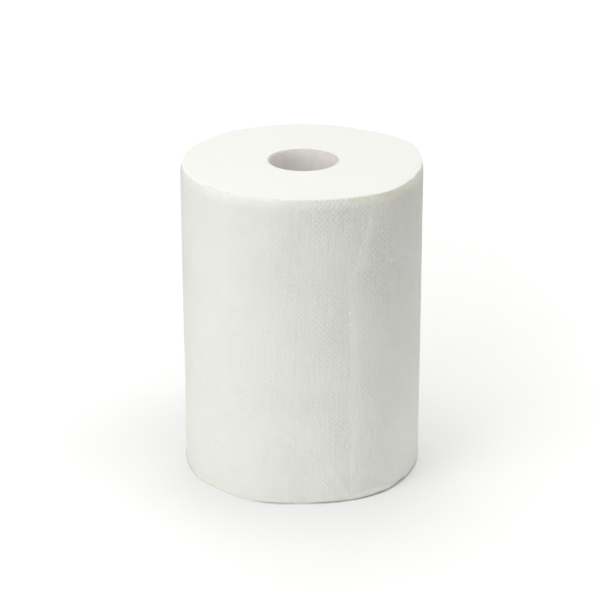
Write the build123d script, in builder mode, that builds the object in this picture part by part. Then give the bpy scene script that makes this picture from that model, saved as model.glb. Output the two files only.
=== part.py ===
from build123d import *
from math import cos, exp, radians, sin, sqrt
import os

# Paper towel roll: an embossed web of two plies, wound round a paperboard core.
# Millimetres, +Z up. The origin is on the core's axis, at the surface that the roll stands on.
# The web's loose end, the tail, faces -Y. Seen from above, the web winds inward counterclockwise.

# Driving dimensions
sheet_width = 200.0  # width of the web, so the height of the standing roll
roll_radius = 75.3  # mean radius of the wound paper
core_bore_radius = 20.8
core_wall = 1.4
core_recess = 0.5  # the core stands on the floor with the web and ends this far below its upper edge
web_thickness = 0.4  # two embossed plies, the step at the tail
off_centre = 1.4  # the wound paper's middle lies this far from the core's axis
off_centre_angle = -130.0
oval = 1.0  # how much further out the roll reaches at the front and back than at the sides

# The tail's edge, as angles round the roll: upright at first, then leaning to the right up to the top
tail_foot_angle = -69.0
tail_top_angle = -59.0
tail_lean_length = 60.0  # height of the stretch, up to the top, in which it leans
lean_steps = 2  # bands of the leaning stretch, so that its straight edges follow the round

# The rims: the outer turns draw in towards each end, most where the roll was handled.
# Each soft stretch: centre and half-width in degrees, and how much further in it is drawn
top_rim_height = 8.0
crisp_top_rim = 0.9
soft_top_rims = (
    (-128.0, 34.0, 1.8),  # front left
    (-8.0, 16.0, 1.2),  # right
)
foot_rim_height = 2.0
crisp_foot_rim = 0.4
soft_foot_rims = (
    (-150.0, 30.0, 0.5),  # left
    (-25.0, 30.0, 1.0),  # right
)
rim_arc_steps = 2

# The roll isn't quite round. Each lobe: centre and half-width in degrees, how far it stands out at the
# foot and how far at the top
lobes = (
    (-137.0, 22.0, 0.0, 1.7),  # full at the front left
    (-90.0, 10.0, -0.3, -0.5),  # flat at the front
    (-48.0, 20.0, 2.2, 2.1),  # full at the front right
    (29.0, 15.0, 0.0, 3.7),  # corner at the back right
    (130.0, 14.0, 0.0, 0.7),  # full at the back left
)

# Near the floor the foot is further out of round. Each lobe: centre, half-width, how far it stands out
foot_form_height = 50.0
foot_lobes = (
    (-150.0, 9.0, 1.3),
    (-136.0, 9.0, -0.7),
    (-110.0, 10.0, 1.6),
    (-89.0, 11.0, -1.0),
)
arc_step = 7.5  # degrees of one arc of the outline

# The turns, as one spiral groove in each end, made of half circles
turns = 7
groove_width = 0.8
groove_depth = 0.25
groove_margin = 1.6  # the groove starts this far in from the rim and ends this far out from the core

core_radius = core_bore_radius + core_wall
core_length = sheet_width - core_recess
tail_bend_height = sheet_width - tail_lean_length
deepest_rim = crisp_top_rim + max(out for centre, span, out in soft_top_rims)
outermost_turn = roll_radius - off_centre - deepest_rim - groove_margin
innermost_turn = core_radius + groove_margin
turn_pitch = (outermost_turn - innermost_turn) / turns


def lobe(angle, centre, span):
    """A smooth bump of height 1 at its centre, however the angles are wrapped."""
    off = (angle - centre + 180.0) % 360.0 - 180.0
    return exp(-((off / span) ** 2))


def round_departure(angle, height):
    """How far the outline stands out from the mean radius, blended from the foot to the top."""
    up = height / sheet_width
    pressed = max(0.0, 1.0 - height / foot_form_height) ** 2
    out = off_centre * cos(radians(angle - off_centre_angle)) + oval * sin(radians(angle)) ** 2
    for centre, span, low, high in lobes:
        out += (low + (high - low) * up) * lobe(angle, centre, span)
    for centre, span, low in foot_lobes:
        out += low * pressed * lobe(angle, centre, span)
    return out


def tail_angle(height):
    """Angle of the tail's edge: upright up to the bend, then leaning."""
    lean = max(0.0, (height - tail_bend_height) / tail_lean_length)
    return tail_foot_angle + (tail_top_angle - tail_foot_angle) * lean


def top_rim(angle):
    """How far the outline is drawn in at the very top."""
    return crisp_top_rim + sum(out * lobe(angle, centre, span) for centre, span, out in soft_top_rims)


def foot_rim(angle):
    """How far the outline is drawn in at the very foot."""
    return crisp_foot_rim + sum(out * lobe(angle, centre, span) for centre, span, out in soft_foot_rims)


def rim_share(depth, rim_height):
    """Share of a rim's draw at a distance from its end face: a quarter ellipse, nothing beyond the rim."""
    return 1.0 - sqrt(1.0 - max(0.0, 1.0 - depth / rim_height) ** 2)


def drawn_in(angle, height):
    """How far the outline is drawn in by the two rims."""
    foot = foot_rim(angle) * rim_share(height, foot_rim_height)
    return foot + top_rim(angle) * rim_share(sheet_width - height, top_rim_height)


def outline_point(angle, height):
    """A point of the outermost turn, which sinks by one web's thickness on its way round from the tail."""
    wound = (angle - tail_angle(height)) / 360.0
    radius = roll_radius + round_departure(angle, height) - web_thickness * wound - drawn_in(angle, height)
    return Vector(radius * cos(radians(angle)), radius * sin(radians(angle)))


def outline_joints(height):
    """Angles at which the outline's arcs join: all but the tail's own are the same at every height."""
    tail = tail_angle(height)
    first = max(tail_foot_angle, tail_top_angle) + arc_step
    last = min(tail_foot_angle, tail_top_angle) + 360.0 - arc_step
    arcs = round((last - first) / arc_step)
    between = [first + (last - first) * i / arcs for i in range(arcs + 1)]
    return [tail, *between, tail + 360.0]


def rim_depths(rim_height):
    """Distances from an end face at which the bands of its rounded rim meet."""
    return [rim_height * (1.0 - cos(radians(90.0 * i / rim_arc_steps))) for i in range(rim_arc_steps + 1)]


# The wound paper
lean_rise = (tail_lean_length - top_rim_height) / lean_steps
levels = rim_depths(foot_rim_height)
levels += [foot_form_height / 2.0, foot_form_height]
levels += [tail_bend_height + lean_rise * step for step in range(lean_steps)]
levels += [sheet_width - depth for depth in reversed(rim_depths(top_rim_height))]

with BuildPart() as wound_paper:
    for height in levels:
        with BuildSketch(Plane.XY.offset(height)):
            joints = outline_joints(height)
            with BuildLine():
                for first, last in zip(joints, joints[1:]):
                    middle = (first + last) / 2.0
                    ThreePointArc(*[outline_point(angle, height) for angle in (first, middle, last)])
                Line(outline_point(joints[-1], height), outline_point(joints[0], height))
            make_face()
    loft(ruled=True)
    with BuildSketch(Plane.XY):
        Circle(core_radius)
    extrude(amount=sheet_width, mode=Mode.SUBTRACT)
    for height, inward in ((sheet_width, -1.0), (0.0, 1.0)):
        for half in (0, 1):
            # Half circles about two centres, a quarter pitch either side of the axis, meet as a spiral
            angle = tail_angle(height) + 180.0 * half
            away = Vector(cos(radians(angle)), sin(radians(angle)), 0.0)
            centre = away * (turn_pitch / 4.0) + Vector(0.0, 0.0, height)
            with BuildSketch(Plane(origin=centre, x_dir=away, z_dir=away.cross(Vector(0.0, 0.0, 1.0)))):
                for turn in range(turns):
                    radius = outermost_turn - turn_pitch * (turn + half / 2.0)
                    with BuildLine():
                        Polyline(
                            (radius - groove_width, -inward * groove_depth),
                            (radius + groove_width, -inward * groove_depth),
                            (radius, inward * groove_depth),
                            close=True,
                        )
                    make_face()
            revolve(axis=Axis(centre, (0.0, 0.0, 1.0)), revolution_arc=180.0, mode=Mode.SUBTRACT)

# The core
with BuildPart() as core_tube:
    with BuildSketch(Plane.XY):
        Circle(core_radius)
        Circle(core_bore_radius, mode=Mode.SUBTRACT)
    extrude(amount=core_length)

os.makedirs("parts", exist_ok=True)
for name, piece in (("wound_paper", wound_paper), ("core_tube", core_tube)):
    piece.part.label = name
    export_step(piece.part, f"parts/{name}.step")
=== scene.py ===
"""Looks for the paper towel roll: embossed web, paperboard core, pale floor, soft light and camera."""

import bpy
import numpy as np
from math import cos, degrees, inf, pi, radians, sin
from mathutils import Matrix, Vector


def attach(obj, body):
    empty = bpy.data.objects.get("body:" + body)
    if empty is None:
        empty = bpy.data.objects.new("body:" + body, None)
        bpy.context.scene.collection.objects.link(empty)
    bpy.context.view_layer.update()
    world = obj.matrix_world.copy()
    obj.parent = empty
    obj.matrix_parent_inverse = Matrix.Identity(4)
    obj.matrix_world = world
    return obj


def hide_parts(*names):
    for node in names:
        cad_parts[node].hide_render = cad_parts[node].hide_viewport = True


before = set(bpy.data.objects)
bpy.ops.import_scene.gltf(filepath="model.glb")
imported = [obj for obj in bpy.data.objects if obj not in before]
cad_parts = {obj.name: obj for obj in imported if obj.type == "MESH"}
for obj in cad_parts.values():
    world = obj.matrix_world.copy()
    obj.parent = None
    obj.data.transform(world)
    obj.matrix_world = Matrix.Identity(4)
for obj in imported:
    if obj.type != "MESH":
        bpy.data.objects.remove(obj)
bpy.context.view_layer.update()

# Lengths are in millimetres and angles in degrees, round the roll from +X; Blender works in metres
MM = 0.001

# The roll, with the driving dimensions of its solids. Its outline follows the photograph a little more
# closely than theirs does: by about 1 mm at most, and by up to 3 mm in the crevice under the foot's rim
sheet_width = 200.0
roll_radius = 75.3
core_bore_radius = 20.8
core_wall = 1.4
core_recess = 0.5
web_thickness = 0.4
core_radius = core_bore_radius + core_wall
core_length = sheet_width - core_recess
off_centre = 1.4
off_centre_angle = -130.0
oval = 1.0

# The rims, drawn in towards each end. Each soft stretch: centre, half-width and how much further in
top_rim_height = 6.0
top_rim_bend = 1.25
crisp_top_rim = 0.9
soft_top_rims = (
    (-119.0, 38.0, 1.8),
    (-82.0, 14.0, 0.5),
    (-52.0, 26.0, 0.5),
    (-26.0, 14.0, 0.5),
    (8.0, 12.0, -0.5),
)
foot_rim_height = 2.3
foot_rim_bend = 4.0
crisp_foot_rim = 0.12
soft_foot_rims = (
    (-104.0, 8.0, 1.2),
    (-78.0, 9.0, 1.5),
    (-36.0, 22.0, 4.7),
)

# Lobes of the outline: centre, half-width, how far each stands out at the foot and how far at the top
lobes = (
    (-134.0, 34.0, 0.0, 1.7),
    (-90.0, 10.0, -0.3, -0.5),
    (-5.0, 24.0, 0.5, 0.0),
    (-48.0, 20.0, 2.2, 2.7),
    (29.0, 15.0, 0.0, 3.7),
    (130.0, 14.0, 0.0, 0.7),
)

# Near the floor the foot is further out of round. Each lobe: centre, half-width, how far it stands out
foot_form_height = 50.0
foot_lobes = (
    (-150.0, 9.0, 0.9),
    (-136.0, 9.0, -0.5),
    (-110.0, 10.0, 1.3),
    (-89.0, 11.0, -1.0),
)

# The tail's edge as it was torn: heights, and the angle of the edge there
tail_heights = (0.0, 35.0, 69.0, 115.0, 142.0, 148.0, 160.0, 172.0, 181.0, 200.0)
tail_angles = (-67.3, -67.6, -67.8, -68.2, -70.4, -68.9, -65.1, -62.6, -60.6, -59.0)
# Degrees from the edge over which the tail is pressed onto the web under it: more near the top
tail_reach_heights = (175.0, 200.0)
tail_reaches = (6.5, 12.0)
pressed_pits = 0.5  # share of the pits' depth that is pressed flat at the edge
tail_gap_reach = 2.0  # degrees from the edge to where the two touch
tail_clearance = 0.02  # least gap under the edge
# How far the edge's face stands above the web under it: everywhere, and more round some heights
least_edge = 0.06
edge_lifts = (  # height, half-width, how much more
    (9.0, 7.0, 0.12),
    (143.0, 4.0, 0.2),
    (166.0, 5.0, 0.2),
)

# The soft rim at the top, where the turns' edges sag. Each stretch: centre, half-width and depth
least_sag = 0.1
sags = (
    (-128.0, 34.0, 0.6),
    (-28.0, 30.0, 0.5),
)
sag_reach = 3.0  # how far in from the rim the end sags
sag_change = 0.3  # how uneven the sag is
sag_cells = (43, 1)
sag_seed = 8
fuzz = 0.9  # how uneven the soft rim is
fuzz_level = 0.6  # the uneven rim lies further in than out
fuzz_cells = (130, 60)
fuzz_seed = 16

# The embossing: pits in staggered rows
pit_columns = 144
pit_rows = 111  # rows in the sheet's width, each half a column's pitch from the next
pit_radius = 1.3
pit_depth = 0.85
faintest_pit = 0.75
pit_seed = 11
even_pit = 0.87  # the usual share of a pit's depth, which changes in soft patches
pit_patch_change = 0.25
pit_patch_range = (0.4, 1.0)
pit_patch_cells = (34, 15)
pit_patch_seed = 12
# Stretches of deeper pits: centre, half-width, how much deeper at the foot and how much at the top
deeper_pits = (
    (-38.0, 28.0, 0.0, 0.3),
    (-112.0, 18.0, 0.2, 0.2),
)
lead_columns = 1.5  # before the tail's edge
spare_columns = 10  # past a full turn, so that the tail can be cut out of the sheet
snap_reach = 0.12  # a corner nearer than this to the tail's edge is moved onto it

# Creases: the path as (angle, height) points, then half-width and depth; one with a depth below 0 stands out
creases = (
    (((-47.5, 155.4), (-39.1, 155.9), (-31.7, 154.4)), 1.5, -0.65),
    (((-48.1, 152.4), (-39.1, 152.8), (-31.7, 151.4)), 1.6, 0.5),
    (((-35.3, 182.4), (-28.0, 183.4), (-20.5, 182.7)), 1.8, 0.45),
    (((-58.4, 174.0), (-49.6, 175.0), (-39.3, 174.0)), 2.2, -0.3),
    (((-65.9, 5.7), (-51.5, 6.1), (-35.0, 0.7)), 1.4, 0.75),
    (((-63.0, 2.2), (-51.5, 2.8), (-41.0, 0.6)), 1.5, -0.45),
    (((-98.9, 48.8), (-93.8, 43.6), (-88.3, 37.5)), 1.7, -0.45),
    (((-124.7, 84.0), (-118.7, 83.0)), 1.7, 0.1),
    (((-90.7, 0.0), (-89.2, 3.5)), 1.5, 0.5),
    (((-76.6, 26.0), (-72.6, 16.0), (-69.5, 8.0), (-66.4, 1.0)), 1.6, -0.3),
)

# Soft unevenness of the whole web: cells round the roll and up it, seed, and how far it stands in or out
unevenness = (
    ((26, 10), 9, 0.16),
    ((64, 24), 10, 0.05),
)
even_end = 6.0  # the unevenness fades out this near to an end

# Painted shade: a faint warm darkening of the paper's colour just under the rim
tint_angle = -50.0
tint_span = 28.0
tint_reach = 9.0
tint_level = 0.8
tint_change = 0.8  # how uneven the painted shade is
tint_cells = (70, 30)
tint_seed = 5

# The ends: each drawn turn stands for about three of the web's, which the material draws as fine rings
drawn_turns = 40
turn_corners = 96
web_turns = round((roll_radius - core_radius) / web_thickness)
groove_depth = 0.12
shallow_groove = 0.45  # share of that depth which every groove has
crest_sink = 0.05  # how far the lowest crest between two grooves lies below the end face
groove_start = 6.0  # the first groove is at its full depth after 1 / groove_start of a turn
turn_waves = (1.9, 0.37, 0.8)  # unevenness from turn to turn: two waves, and the second one's start


def lobe(angle, centre, span):
    """A smooth bump of height 1 at its centre, however the angles are wrapped."""
    return np.exp(-(((angle - centre + 180.0) % 360.0 - 180.0) / span) ** 2)


def rim_share(depth, rim_height, bend):
    """Share of a rim's draw at a distance from its end face: straighter for a lower bend."""
    return np.clip(1.0 - depth / rim_height, 0.0, 1.0) ** bend


def tail_angle(height):
    """Angle of the tail's edge at a height."""
    return np.interp(height, tail_heights, tail_angles)


def outline_radius(angle, height):
    """Radius of the outermost turn, which sinks by one web's thickness on its way round from the tail."""
    up = height / sheet_width
    pressed = np.clip(1.0 - height / foot_form_height, 0.0, 1.0) ** 2
    radius = roll_radius + off_centre * np.cos(np.radians(angle - off_centre_angle))
    radius = radius + oval * np.sin(np.radians(angle)) ** 2
    for centre, span, low, high in lobes:
        radius = radius + (low + (high - low) * up) * lobe(angle, centre, span)
    for centre, span, low in foot_lobes:
        radius = radius + low * pressed * lobe(angle, centre, span)
    top_rim = crisp_top_rim + sum(out * lobe(angle, centre, span) for centre, span, out in soft_top_rims)
    foot_rim = crisp_foot_rim + sum(out * lobe(angle, centre, span) for centre, span, out in soft_foot_rims)
    drawn_in = foot_rim * rim_share(height, foot_rim_height, foot_rim_bend)
    drawn_in = drawn_in + top_rim * rim_share(sheet_width - height, top_rim_height, top_rim_bend)
    wound = (angle - tail_angle(height)) / 360.0
    return radius - web_thickness * wound - drawn_in


def uneven(angle, height, counts, seed):
    """Smooth seeded unevenness from -1 to 1, in so many cells round the roll and up it."""
    around, up = counts
    cells = np.random.default_rng(seed).uniform(-1.0, 1.0, (around, up + 2))
    across = np.asarray(angle) / 360.0 * around
    along = np.clip(np.asarray(height) / sheet_width, 0.0, 1.0) * up
    column = np.floor(across).astype(int)
    row = np.floor(along).astype(int)
    u, v = ((3.0 - 2.0 * t) * t * t for t in (across - column, along - row))
    near, far = column % around, (column + 1) % around
    low = cells[near, row] * (1.0 - u) + cells[far, row] * u
    high = cells[near, row + 1] * (1.0 - u) + cells[far, row + 1] * u
    return low * (1.0 - v) + high * v


def rim_softness(angle):
    """How far the top rim sags at an angle, uneven like the turns' edges there."""
    sag = least_sag + sum(down * lobe(angle, centre, span) for centre, span, down in sags)
    return sag * (1.0 + sag_change * uneven(angle, 0.0, sag_cells, sag_seed))


def path_distance(angle, height, path):
    """Distance on the roll's surface from points to a path, in millimetres."""
    start = path[0][0]
    around = radians(1.0) * roll_radius
    x = ((angle - start + 180.0) % 360.0 - 180.0) * around
    nearest = np.full(np.shape(angle), inf)
    for (angle_a, height_a), (angle_b, height_b) in zip(path, path[1:]):
        ax = (angle_a - start) * around
        run = (angle_b - angle_a) * around
        rise = height_b - height_a
        share = ((x - ax) * run + (height - height_a) * rise) / (run**2 + rise**2)
        share = np.clip(share, 0.0, 1.0)
        nearest = np.minimum(nearest, np.hypot(x - ax - share * run, height - height_a - share * rise))
    return nearest


def edge_height(height):
    """How far the face of the tail's edge stands above the web under it."""
    lifts = (out * np.exp(-(((height - centre) / span) ** 2)) for centre, span, out in edge_lifts)
    return least_edge + sum(lifts)


def surface_radius(angle, height, sunk):
    """Radius of the web's outer surface with its pits, soft unevenness, creases and pressed edge."""
    reach = np.interp(height, tail_reach_heights, tail_reaches)
    pressed = (1.0 - np.clip((angle - tail_angle(height)) / reach, 0.0, 1.0)) ** 2
    radius = outline_radius(angle, height) - sunk * (1.0 - pressed_pits * pressed)
    radius -= (web_thickness - edge_height(height)) * pressed
    ends = np.minimum(1.0, np.minimum(height, sheet_width - height) / even_end)
    for counts, seed, out in unevenness:
        radius += out * ends * uneven(angle, height, counts, seed)
    for path, span, depth in creases:
        radius -= depth * np.exp(-((path_distance(angle, height, path) / span) ** 2))
    near_top = np.clip(1.0 - (sheet_width - height) / sag_reach, 0.0, 1.0)
    ragged = uneven(angle, height, fuzz_cells, fuzz_seed)
    return radius + fuzz * near_top * rim_softness(angle) * (ragged - fuzz_level)


class Surface:
    """Corners and faces of one piece, with named values at each corner for its materials."""

    def __init__(self, *labels):
        self.points = []
        self.faces = []
        self.finishes = []
        self.values = {label: [] for label in labels}

    def point(self, angle, radius, height, **values):
        """Adds a corner and returns its number. A value that isn't given is 0."""
        turned = radians(angle)
        self.points.append((radius * cos(turned) * MM, radius * sin(turned) * MM, height * MM))
        for label, listed in self.values.items():
            listed.append(values.get(label, 0.0))
        return len(self.points) - 1

    def face(self, corners, finish=0, flip=False):
        """Adds a face without repeated corners, and nothing where fewer than three are left."""
        kept = [c for i, c in enumerate(corners) if c != corners[i - 1]]
        if len(kept) > 2:
            self.faces.append(kept[::-1] if flip else kept)
            self.finishes.append(finish)

    def strip(self, line_a, line_b, finish=0, flip=False):
        """Faces between two lines of as many corners each."""
        for i in range(len(line_a) - 1):
            self.face((line_a[i], line_a[i + 1], line_b[i + 1], line_b[i]), finish, flip)

    def piece(self, name, materials, sharp):
        """Makes the object, shaded smooth where faces meet at less than the sharp angle."""
        mesh = bpy.data.meshes.new(name)
        mesh.from_pydata(self.points, [], self.faces)
        for material in materials:
            mesh.materials.append(material)
        mesh.polygons.foreach_set("material_index", self.finishes)
        for label, listed in self.values.items():
            mesh.attributes.new(label, "FLOAT", "POINT").data.foreach_set("value", listed)
        mesh.shade_smooth()
        mesh.set_sharp_from_angle(angle=radians(sharp))
        mesh.update()
        made = bpy.data.objects.new(name, mesh)
        bpy.context.scene.collection.objects.link(made)
        return made


# The web: its flat sheet


def flat_sheet():
    """The embossed sheet laid flat: corners as (angle, height, pit share), five to a pit, and its faces."""
    columns = pit_columns + spare_columns
    pitch = 360.0 / pit_columns
    row, column = np.meshgrid(np.arange(pit_rows + 1), np.arange(columns), indexing="ij")
    angle = min(tail_angles) - lead_columns * pitch + pitch * (column + (row % 2) / 2.0)
    height = row * sheet_width / pit_rows
    pressed = np.random.default_rng(pit_seed).uniform(faintest_pit, 1.0, row.shape)
    inner = ((row > 0) & (row < pit_rows)) * pressed
    reach = degrees(pit_radius / roll_radius)
    offsets = ((0.0, 0.0), (reach, 0.0), (0.0, pit_radius), (-reach, 0.0), (0.0, -pit_radius))
    corners = [
        np.stack((angle + around, height + up, inner if i == 0 else 0.0 * inner), axis=-1)
        for i, (around, up) in enumerate(offsets)
    ]
    corners = np.stack(corners, axis=2).reshape(-1, 3)
    middle, right, up, left, down = range(len(offsets))
    odd = row % 2  # the pits of odd rows lie half a pitch on

    def ids(corner, rows_up=0, columns_on=0):
        """The numbers of every pit's corner, or of the same corner of a neighbour."""
        return ((row + rows_up) * columns + column + columns_on) * len(offsets) + corner

    inside = (column > 0) & (column < columns - 1)
    upper = inside & (row < pit_rows)
    lower = inside & (row > 0)
    parts = (
        (upper, (ids(middle), ids(right), ids(up))),
        (upper, (ids(middle), ids(up), ids(left))),
        (lower, (ids(middle), ids(left), ids(down))),
        (lower, (ids(middle), ids(down), ids(right))),
        (upper, (ids(right), ids(down, 1, odd), ids(left, 1, odd), ids(up))),
        (upper, (ids(up), ids(right, 1, odd - 1), ids(down, 1, odd - 1), ids(left))),
        (upper, (ids(right), ids(left, 0, 1), ids(down, 1, odd))),
        (lower, (ids(right), ids(up, -1, odd), ids(left, 0, 1))),
    )
    faces = []
    for mask, around in parts:
        faces += np.stack([i[mask] for i in around], axis=1).tolist()
    return corners, faces


def trim(corners, faces, turned):
    """Cuts the sheet along the tail's edge, turned by whole turns, and also returns the cut's corners."""
    side = -1.0 if turned else 1.0
    over = side * (corners[:, 0] - tail_angle(corners[:, 1]) - turned)
    near = np.abs(over) < snap_reach * degrees(1.0 / roll_radius)
    corners[near, 0] = tail_angle(corners[near, 1]) + turned
    over[near] = 0.0
    over = over.tolist()
    points = corners.tolist()
    cuts = {}
    kept = []
    for face in faces:
        if min(over[i] for i in face) >= 0.0:
            kept.append(face)
        elif max(over[i] for i in face) > 0.0:
            clipped = []
            for a, b in zip(face, face[1:] + face[:1]):
                if over[a] >= 0.0:
                    clipped.append(a)
                if over[a] * over[b] < 0.0:
                    key = (min(a, b), max(a, b))
                    if key not in cuts:
                        share = over[a] / (over[a] - over[b])
                        points.append([p + (q - p) * share for p, q in zip(points[a], points[b])])
                        cuts[key] = len(points) - 1
                    clipped.append(cuts[key])
            kept.append(clipped)
    used = {i for face in kept for i in face}
    edge = [i for i in range(len(over)) if over[i] == 0.0 and i in used] + list(cuts.values())
    return np.array(points), kept, sorted(edge, key=lambda i: points[i][1])


def pit_strength(angle, height):
    """The embossing is a little uneven, as the web's tension was."""
    patches = uneven(angle, height, pit_patch_cells, pit_patch_seed)
    strength = np.clip(even_pit + pit_patch_change * patches, *pit_patch_range)
    up = height / sheet_width
    for centre, span, low, high in deeper_pits:
        strength = strength + (low + (high - low) * up) * lobe(angle, centre, span)
    soft = sum(lobe(angle, centre, span) for centre, span, down in sags)
    near_top = np.clip((sheet_width - height) / top_rim_height, 0.0, 1.0)
    return strength * (1.0 - soft * (1.0 - near_top))


# The web: its ends


def zip_lines(web, outer, inner, finish, flip):
    """Faces between two lines of unlike numbers of corners, each a list of (share of the turn, corner)."""
    i = 0
    j = 0
    while i < len(outer) - 1 or j < len(inner) - 1:
        to_outer = outer[i + 1][0] if i < len(outer) - 1 else inf
        to_inner = inner[j + 1][0] if j < len(inner) - 1 else inf
        if to_outer <= to_inner:
            web.face((outer[i][1], outer[i + 1][1], inner[j][1]), finish, flip)
            i += 1
        else:
            web.face((outer[i][1], inner[j + 1][1], inner[j][1]), finish, flip)
            j += 1


def end_radius(line, share, height):
    """Radius of an even line of the spiral, a share of a turn round from the tail, and how far in that is."""
    angle = tail_angle(height) + 360.0 * share
    if line == 0:
        return outline_radius(angle, height), 0.0
    outer = outline_radius(angle + 360.0, height)
    depth = min(max((line / 2 - 1.0 + share) / drawn_turns, 0.0), 1.0)
    return outer + (core_radius - outer) * depth, depth


def end_sink(line, share):
    """How far a line lies below the end face: even lines are the grooves between the turns."""
    wound = line / 2 - 1.0 + share
    start = min(1.0, max(0.0, wound) * groove_start)
    quick, slow, shift = turn_waves
    wave = 0.5 + 0.5 * sin(quick * wound) * sin(slow * wound + shift)
    if line % 2:
        return crest_sink * start * (1.0 - wave)
    return groove_depth * start * (shallow_groove + (1.0 - shallow_groove) * wave)


def spiral_end(web, outline, height, flip):
    """Fills an end with lines that wind in from the outline to the hole. Returns the hole's corners."""
    inward = 1.0 if flip else -1.0
    last_line = 2 * drawn_turns + 2
    shares = [i / turn_corners for i in range(turn_corners + 1)]
    start = tail_angle(height)
    level = height + inward * end_sink(last_line, 0.0)
    hole = [web.point(start + 360.0 * share, core_radius, level, turn=web_turns) for share in shares[:-1]]
    lines = [outline]
    for line in range(1, last_line):
        corners = [outline[0] if line == 1 else lines[-2][-1]]
        for share in shares[1:]:
            if share == 1.0 and line >= last_line - 2:
                corners.append((1.0, hole[0]))
                continue
            if line % 2:
                pair = [end_radius(line + step, share, height) for step in (-1, 1)]
                radius, depth = (sum(values) / 2.0 for values in zip(*pair))
            else:
                radius, depth = end_radius(line, share, height)
            up = height + inward * end_sink(line, share)
            if height > 0.0:
                angle = start + 360.0 * share
                near_rim = min(max(1.0 - (outline_radius(angle, height) - radius) / sag_reach, 0.0), 1.0)
                up -= rim_softness(angle) * near_rim**2
            corners.append((share, web.point(start + 360.0 * share, radius, up, turn=depth * web_turns)))
        corners[0] = (0.0, corners[0][1])
        zip_lines(web, lines[-1], corners, 1, flip)
        lines.append(corners)
    zip_lines(web, lines[-1], list(zip(shares, hole + hole[:1])), 1, flip)
    return hole


def build_web():
    """The wound web as one closed surface."""
    corners, faces = flat_sheet()
    corners, faces, free_edge = trim(corners, faces, 0.0)
    corners, faces, covered_edge = trim(corners, faces, 360.0)
    angle, height, pit = corners.T
    pit = pit * pit_strength(angle, height)
    radius = surface_radius(angle, height, pit_depth * pit)
    near_top = np.clip(1.0 - (sheet_width - height) / sag_reach, 0.0, 1.0) ** 2
    level = height - rim_softness(angle) * near_top
    # Painted shade just under the rim, warm in cast, passed to the tissue as a corner value
    tint = lobe(angle, tint_angle, tint_span) * np.exp(-(sheet_width - height) / tint_reach)
    tint = tint * np.clip(tint_level + tint_change * uneven(angle, height, tint_cells, tint_seed), 0.0, 1.0)
    used = sorted({i for face in faces for i in face})
    web = Surface("pit", "turn", "tint")
    place = {i: web.point(angle[i], radius[i], level[i], pit=pit[i], tint=tint[i]) for i in used}
    for face in faces:
        web.face([place[i] for i in face])

    # The tail's cut edge, its underside, and the web that it covers
    under = []
    touching = []
    for k, (i, j) in enumerate(zip(free_edge, covered_edge)):
        if k in (0, len(free_edge) - 1):
            under.append(place[j])
            touching.append(place[j])
            continue
        underside = max(radius[i] - web_thickness, radius[j] + tail_clearance)
        under.append(web.point(angle[i], underside, level[i]))
        touch = outline_radius(angle[j] + tail_gap_reach, height[i])
        touching.append(web.point(angle[i] + tail_gap_reach, touch, level[i]))
    free = [place[i] for i in free_edge]
    covered = [place[i] for i in covered_edge]
    web.strip(free, under)
    web.strip(under, touching)
    web.strip(touching, covered)

    # The ends and the hole between them
    holes = []
    for end, flip in ((0.0, True), (sheet_width, False)):
        ring = sorted((i for i in used if height[i] == end), key=lambda i: angle[i])
        start = tail_angle(end)
        outline = [((angle[i] - start) / 360.0, place[i]) for i in ring]
        holes.append(spiral_end(web, outline, end, flip))
    low, high = ([*hole, hole[0]] for hole in holes)
    web.strip(high, low, 1)
    return web


# The core: a tube whose columns follow the seam of its spiral-wound liner

seam_angle = 71.1  # where the seam meets the upper end
seam_twist = 1.6  # degrees for each millimetre of height
seam_half_width = 0.4
seam_depth = 0.1
core_columns = 96
core_rows = 30
core_clearance = 0.03  # between the board and the first turn of the web
cut_fray = 0.07  # how uneven the upper cut is
cut_waves = (7.0, 3.0, 1.0)  # two waves round it, and the second one's start
rim_plies = (  # distance from the bore and depth below the cut, across the board's edge
    (0.0, 0.25),
    (0.12, 0.05),
    (0.42, 0.0),
    (0.48, 0.14),
    (0.54, 0.02),
    (0.88, 0.0),
    (0.94, 0.12),
    (1.0, 0.03),
    (1.28, 0.06),
    (core_wall - core_clearance, 0.25),
)


def build_core():
    """The tube as one closed surface: up the bore, over the rim, down the outside and back."""
    rises = [i / core_rows for i in range(1, core_rows)]
    top = [(core_bore_radius + out, core_length - down) for out, down in rim_plies]
    foot = [(core_bore_radius + out, down) for out, down in reversed(rim_plies)]
    bore = [(core_bore_radius, core_length * rise) for rise in rises]
    outside = [(core_radius - core_clearance, core_length * rise) for rise in reversed(rises)]
    profile = bore + top + outside + foot
    seam_reach = degrees(seam_half_width / core_bore_radius)
    step = (360.0 - 2.0 * seam_reach) / core_columns
    columns = [0.0] + [seam_reach + step * i for i in range(core_columns + 1)]
    quick, slow, shift = cut_waves
    core = Surface()
    rings = []
    for k, (radius, height) in enumerate(profile):
        start = seam_angle + seam_twist * (height - core_length)
        in_bore = k < len(bore) or radius == core_bore_radius
        ring = []
        for i, column in enumerate(columns):
            ragged = cut_fray * sin(radians(quick * column)) * sin(radians(slow * column) + shift)
            level = height + (ragged if len(bore) <= k < len(bore) + len(top) else 0.0)
            seam = seam_depth if in_bore and i == 0 else 0.0
            ring.append(core.point(start + column, radius + seam, level))
        rings.append(ring)
    for k, ring in enumerate(rings):
        inside = k < len(bore) or k == len(rings) - 1
        following = rings[(k + 1) % len(rings)]
        core.strip(ring + ring[:1], following + following[:1], 0 if inside else 1, flip=True)
    return core


# Materials


def new_material(name, roughness, specular):
    """A material with its Principled shader's even values set, and its tree."""
    material = bpy.data.materials.new(name)
    material.use_nodes = True
    tree = material.node_tree
    shader = tree.nodes["Principled BSDF"]
    shader.inputs["Roughness"].default_value = roughness
    shader.inputs["Specular IOR Level"].default_value = specular
    return material, tree, shader


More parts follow.
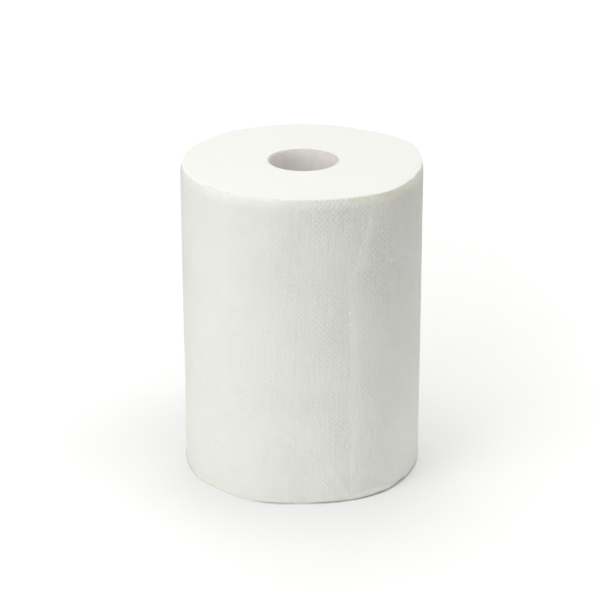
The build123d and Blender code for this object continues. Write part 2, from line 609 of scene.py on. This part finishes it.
def node(tree, kind, inputs=None, **settings):
    """Adds a node. Inputs are given by name or number, as values or as other nodes' outputs."""
    made = tree.nodes.new(kind)
    for key, value in settings.items():
        setattr(made, key, value)
    for key, value in (inputs or {}).items():
        if isinstance(value, bpy.types.NodeSocket):
            tree.links.new(value, made.inputs[key])
        else:
            made.inputs[key].default_value = value
    return made


def noise(tree, where, scale, stretch=(1.0, 1.0, 1.0), detail=3.0):
    """Noise of so many features to the metre, stretched along an axis by a scale below 1."""
    mapped = node(tree, "ShaderNodeMapping", {"Vector": where, "Scale": stretch})
    return node(
        tree, "ShaderNodeTexNoise", {"Vector": mapped.outputs["Vector"], "Scale": scale, "Detail": detail}
    ).outputs["Fac"]


def math(tree, operation, *values):
    """The result of arithmetic on values or other nodes' outputs."""
    return node(tree, "ShaderNodeMath", dict(enumerate(values)), operation=operation).outputs["Value"]


def blend(tree, share, color_a, color_b):
    """A mix of two colours, each a linear triple or another node's output."""
    mix = node(tree, "ShaderNodeMix", {"Factor": share}, data_type="RGBA")
    for name, color in (("A", color_a), ("B", color_b)):
        socket = next(i for i in mix.inputs if i.name == name and i.type == "RGBA")
        if isinstance(color, bpy.types.NodeSocket):
            tree.links.new(color, socket)
        else:
            socket.default_value = (*color, 1.0)
    return next(o for o in mix.outputs if o.type == "RGBA")


def bump(tree, height, distance, strength=1.0, normal=None):
    """A bump of so many millimetres."""
    made = node(tree, "ShaderNodeBump", {"Height": height, "Distance": distance * MM, "Strength": strength})
    if normal is not None:
        tree.links.new(normal, made.inputs["Normal"])
    return made.outputs["Normal"]


def ramp(tree, value, low, high):
    """The value's stretch from low to high as 0 to 1."""
    return node(
        tree, "ShaderNodeMapRange", {"Value": value, "From Min": low, "From Max": high}
    ).outputs["Result"]


def vary_roughness(tree, shader, share, low, high):
    """Lets the roughness go from low to high as the share goes from 0 to 1."""
    rough = math(tree, "MULTIPLY_ADD", share, high - low, low)
    tree.links.new(rough, shader.inputs["Roughness"])


# Linear colours
paper_color = (0.965, 0.975, 0.92)
# The pits are a little darker: denser fibre there, and a little painted shade
pit_fibre_and_shade_color = (0.955, 0.965, 0.91)
thin_color = (0.945, 0.955, 0.9)
tint_color = (0.94, 0.9, 0.74)
cut_color = (0.93, 0.94, 0.885)
shaded_cut_color = (0.915, 0.925, 0.87)
liner_color = (0.92, 0.905, 0.87)
dark_liner_color = (0.88, 0.86, 0.81)
kraft_color = (0.8, 0.76, 0.67)
dark_kraft_color = (0.7, 0.64, 0.54)
pit_focus = 1.5  # how closely the pits' darker colour, from denser fibre and a little painted shade, keeps to their middles
fleck_share = 0.35  # how far a fleck darkens the board

# How far the fibres' noise is drawn out up the roll: a crepe in the web, a little in the core's inner
# ply, and not at all in its cut edge
crepe_stretch = (1.0, 1.0, 0.12)
liner_stretch = (1.0, 1.0, 0.4)
kraft_stretch = (1.0, 1.0, 1.0)


def tissue():
    """Soft white tissue: cloudy in thickness, a little darker in the pits from denser fibre and painted
    shade, with painted shade under the rim, fine crepe and loose fibres.
    """
    material, tree, shader = new_material("tissue", roughness=0.95, specular=0.2)
    where = node(tree, "ShaderNodeTexCoord").outputs["Object"]
    cloud = ramp(tree, noise(tree, where, scale=90.0, detail=4.0), low=0.35, high=0.7)
    color = blend(tree, cloud, paper_color, thin_color)
    pit = node(tree, "ShaderNodeAttribute", attribute_name="pit").outputs["Fac"]
    # Darker pits: denser fibre, and a little painted shade
    color = blend(tree, math(tree, "POWER", pit, pit_focus), color, pit_fibre_and_shade_color)
    # Painted shade under the rim, warm in cast
    tint = node(tree, "ShaderNodeAttribute", attribute_name="tint").outputs["Fac"]
    color = blend(tree, tint, color, tint_color)
    tree.links.new(color, shader.inputs["Base Color"])
    crepe = noise(tree, where, scale=620.0, stretch=crepe_stretch, detail=2.0)
    fibre = noise(tree, where, scale=3400.0, detail=5.0)
    normal = bump(tree, crepe, distance=0.5, strength=0.8)
    normal = bump(tree, fibre, distance=0.06, strength=0.6, normal=normal)
    tree.links.new(normal, shader.inputs["Normal"])
    vary_roughness(tree, shader, cloud, low=0.92, high=0.97)
    shader.inputs["Sheen Weight"].default_value = 0.2
    shader.inputs["Sheen Roughness"].default_value = 0.6
    return material


def cut_edges():
    """The ends: the cut edges of the turns, as fine rings that are a little uneven in tone."""
    material, tree, shader = new_material("cut_edges", roughness=0.97, specular=0.15)
    where = node(tree, "ShaderNodeTexCoord").outputs["Object"]
    turn = node(tree, "ShaderNodeAttribute", attribute_name="turn").outputs["Fac"]
    fine = math(tree, "SINE", math(tree, "MULTIPLY", turn, 2.0 * pi))
    band = node(tree, "ShaderNodeTexNoise", {"W": turn, "Scale": 0.35, "Detail": 3.0}, noise_dimensions="1D")
    bands = ramp(tree, band.outputs["Fac"], low=0.3, high=0.7)
    patches = ramp(tree, noise(tree, where, scale=60.0), low=0.2, high=0.8)
    tone = math(tree, "MULTIPLY", bands, patches)
    color = blend(tree, tone, cut_color, shaded_cut_color)
    tree.links.new(color, shader.inputs["Base Color"])
    lint = noise(tree, where, scale=2600.0, detail=5.0)
    normal = bump(tree, fine, distance=0.04, strength=0.5)
    normal = bump(tree, lint, distance=0.08, strength=0.5, normal=normal)
    tree.links.new(normal, shader.inputs["Normal"])
    vary_roughness(tree, shader, tone, low=0.94, high=0.97)
    return material


def board(name, light, dark, stretch):
    """Paperboard: short fibres that run along the ply, with darker flecks."""
    material, tree, shader = new_material(name, roughness=0.85, specular=0.25)
    where = node(tree, "ShaderNodeTexCoord").outputs["Object"]
    grain = noise(tree, where, scale=260.0, stretch=stretch, detail=5.0)
    fleck = ramp(tree, noise(tree, where, scale=900.0, detail=2.0), low=0.62, high=0.75)
    color = blend(tree, ramp(tree, grain, low=0.3, high=0.7), light, dark)
    color = blend(tree, math(tree, "MULTIPLY", fleck, fleck_share), color, dark)
    tree.links.new(color, shader.inputs["Base Color"])
    fibre = noise(tree, where, scale=1400.0, stretch=stretch, detail=4.0)
    tree.links.new(bump(tree, fibre, distance=0.05, strength=0.6), shader.inputs["Normal"])
    vary_roughness(tree, shader, grain, low=0.8, high=0.9)
    return material


# The pieces

web = build_web().piece("wound_web", (tissue(), cut_edges()), sharp=68.0)
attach(web, "root")
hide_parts("wound_paper")

liner = board("grey_liner", liner_color, dark_liner_color, liner_stretch)
kraft = board("kraft_edge", kraft_color, dark_kraft_color, kraft_stretch)
core = build_core().piece("board_tube", (liner, kraft), sharp=50.0)
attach(core, "root")
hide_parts("core_tube")

# The floor

near_floor_color = (0.93, 0.93, 0.92)
far_floor_color = (0.3, 0.3, 0.3)
floor_fade = (0.35, 0.9)  # metres from the roll's axis
seen_floor_color = (0.7, 0.703, 0.692)  # the camera sees a paler shadow on a white floor
floor_columns = 96
# Rings of the floor: distance out from the roll's outline, how much paler than lit the camera sees it
# there, and how many times as far again the ring lies behind the roll, where the shadow is longer
floor_rings = (
    (-7.0, 0.0, 0.0),
    (0.2, 0.02, 0.0),
    (1.1, 0.205, 0.0),
    (20.0, 0.225, 0.0),
    (55.0, 0.275, 0.0),
    (205.0, 0.41, 3.0),
    (4000.0, 0.41, 0.0),
)
shadow_angle = 84.0
shadow_span = 26.0


def make_floor():
    """A pale floor that looks white to the camera, apart from the roll's soft shadow."""
    floor = Surface("glow")
    angles = [360.0 * i / floor_columns for i in range(floor_columns)]
    rings = []
    for out, glow, further in floor_rings:
        ring = []
        for angle in angles:
            reach = out * (1.0 + further * lobe(angle, shadow_angle, shadow_span))
            ring.append(floor.point(angle, outline_radius(angle, foot_rim_height) + reach, 0.0, glow=glow))
        rings.append(ring)
    floor.face(rings[0])
    for inner, outer in zip(rings, rings[1:]):
        floor.strip(outer + outer[:1], inner + inner[:1])
    material, tree, shader = new_material("floor", roughness=0.9, specular=0.1)
    seen = node(tree, "ShaderNodeLightPath").outputs["Is Camera Ray"]
    where = node(tree, "ShaderNodeTexCoord").outputs["Object"]
    away = node(tree, "ShaderNodeVectorMath", {0: where}, operation="LENGTH").outputs["Value"]
    color = blend(tree, ramp(tree, away, *floor_fade), near_floor_color, far_floor_color)
    tree.links.new(blend(tree, seen, color, seen_floor_color), shader.inputs["Base Color"])
    glow = node(tree, "ShaderNodeAttribute", attribute_name="glow").outputs["Fac"]
    shader.inputs["Emission Color"].default_value = (1.0, 1.0, 1.0, 1.0)
    tree.links.new(math(tree, "MULTIPLY", seen, glow), shader.inputs["Emission Strength"])
    floor.piece("floor", (material,), sharp=30.0)


# The lights

sky_strength = 0.77
# Each softbox: place and width in metres, power in watts
softboxes = (
    ("over", (0.0, 0.0, 2.3), 1.4, 9.6),
    ("back", (0.0, 1.6, 1.6), 1.4, 8.7),
    ("right", (1.6, 0.0, 1.6), 1.4, 6.0),
    ("side", (-0.55, -0.55, 0.5), 0.5, 2.6),
)
lamp_target = (0.0, 0.0, 0.1)


def light_world():
    """A pale sky that darkens evenly to the horizon, and is plain white where the camera sees it."""
    world = bpy.data.worlds.new("studio")
    bpy.context.scene.world = world
    world.use_nodes = True
    tree = world.node_tree
    way = node(tree, "ShaderNodeTexCoord").outputs["Generated"]
    up = node(tree, "ShaderNodeSeparateXYZ", {"Vector": way}).outputs["Z"]
    sky = math(tree, "MULTIPLY", math(tree, "MAXIMUM", up, 0.0), sky_strength)
    seen = node(tree, "ShaderNodeLightPath").outputs["Is Camera Ray"]
    background = tree.nodes["Background"]
    background.inputs["Color"].default_value = (1.0, 1.0, 1.0, 1.0)
    tree.links.new(math(tree, "MAXIMUM", seen, sky), background.inputs["Strength"])


def softbox(name, place, width, power):
    """A square area lamp that faces the roll."""
    lamp = bpy.data.lights.new(name, "AREA")
    lamp.size = width
    lamp.energy = power
    made = bpy.data.objects.new(name, lamp)
    made.location = place
    made.rotation_euler = (Vector(lamp_target) - Vector(place)).to_track_quat("-Z", "Y").to_euler()
    made.visible_camera = False
    bpy.context.scene.collection.objects.link(made)


make_floor()
light_world()
for name, place, width, power in softboxes:
    softbox(name, place, width, power)

# The camera, from the fit to the photograph's outline
camera_place = (-2.0185, -1249.24, 612.884)
camera_pitch = 22.08  # below the horizon
camera_view = 16.117  # across the square frame

camera = bpy.data.objects.new("camera", bpy.data.cameras.new("camera"))
camera.location = Vector(camera_place) * MM
camera.rotation_euler = (radians(90.0 - camera_pitch), 0.0, 0.0)
camera.data.angle = radians(camera_view)
bpy.context.scene.collection.objects.link(camera)
bpy.context.scene.camera = camera
bpy.context.scene.view_settings.view_transform = "Standard"
